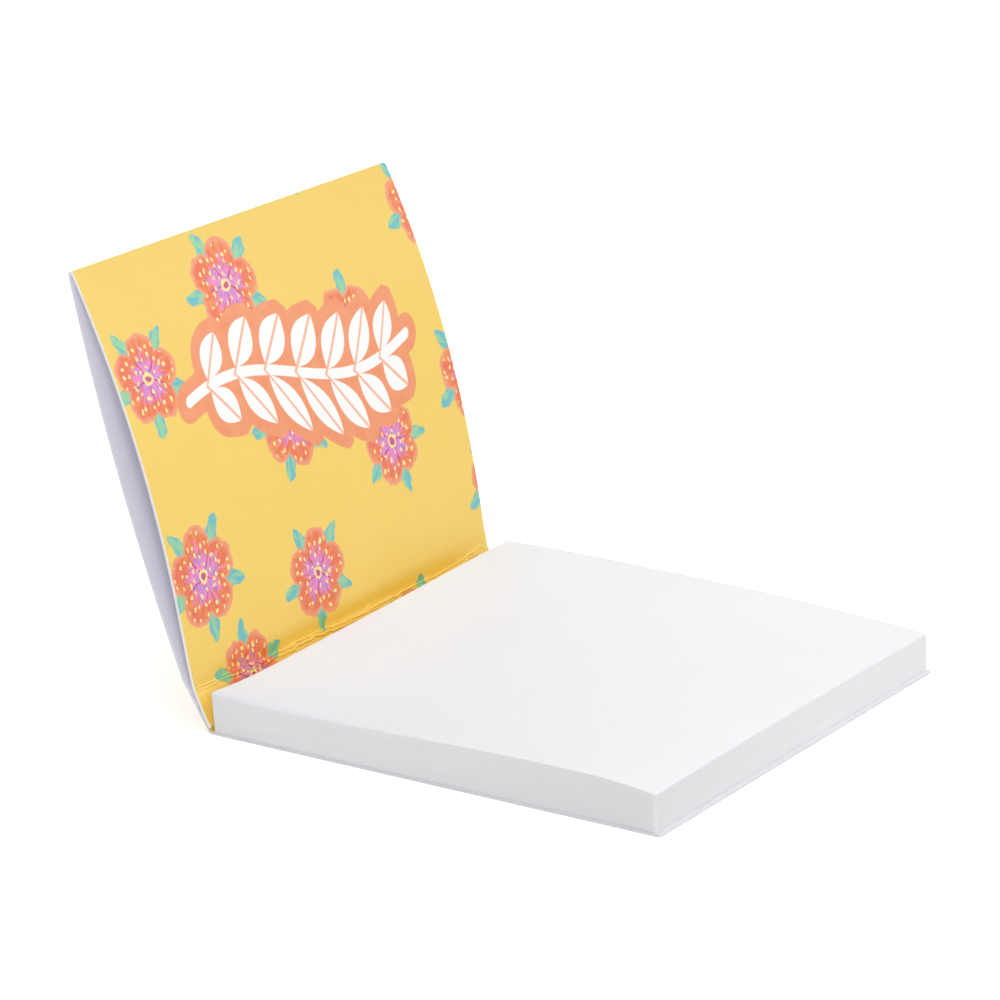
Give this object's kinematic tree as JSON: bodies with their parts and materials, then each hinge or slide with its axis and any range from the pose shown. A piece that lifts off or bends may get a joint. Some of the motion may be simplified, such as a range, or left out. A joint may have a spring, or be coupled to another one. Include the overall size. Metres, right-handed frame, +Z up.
{
  "type": "sticky note pad",
  "caption": "Block of sticky notes on a folded card cover that stands open behind it, hinges at its score lines and closes over the notes.",
  "frame": {"origin": "middle of the base card's flat underside", "axes": "+X along the spine, +Y from the open edge back to the spine, +Z up from the table"},
  "size_m": [0.0751, 0.0937, 0.0621],
  "materials": {
    "notes_paper": "matt uncoated paper, cut edges",
    "cover_card": "silk coated card, printed outside and bare white inside"
  },
  "bodies": {
    "base": {"back_card": "cover_card", "note_block": "notes_paper"},
    "spine": {"spine": "cover_card"},
    "cover": {"cover": "cover_card"}
  },
  "joints": [
    {"name": "spine_hinge", "type": "hinge", "parent": "base", "child": "spine", "pos_m": [0, 0.03582, 0.00017], "axis": [1, 0, 0], "range_deg": [-57, 20]},
    {"name": "cover_hinge", "type": "hinge", "parent": "spine", "child": "cover", "pos_m": [0, 0.04018, 0.00688], "axis": [1, 0, 0], "range_deg": [-11.5, 73]}
  ]
}
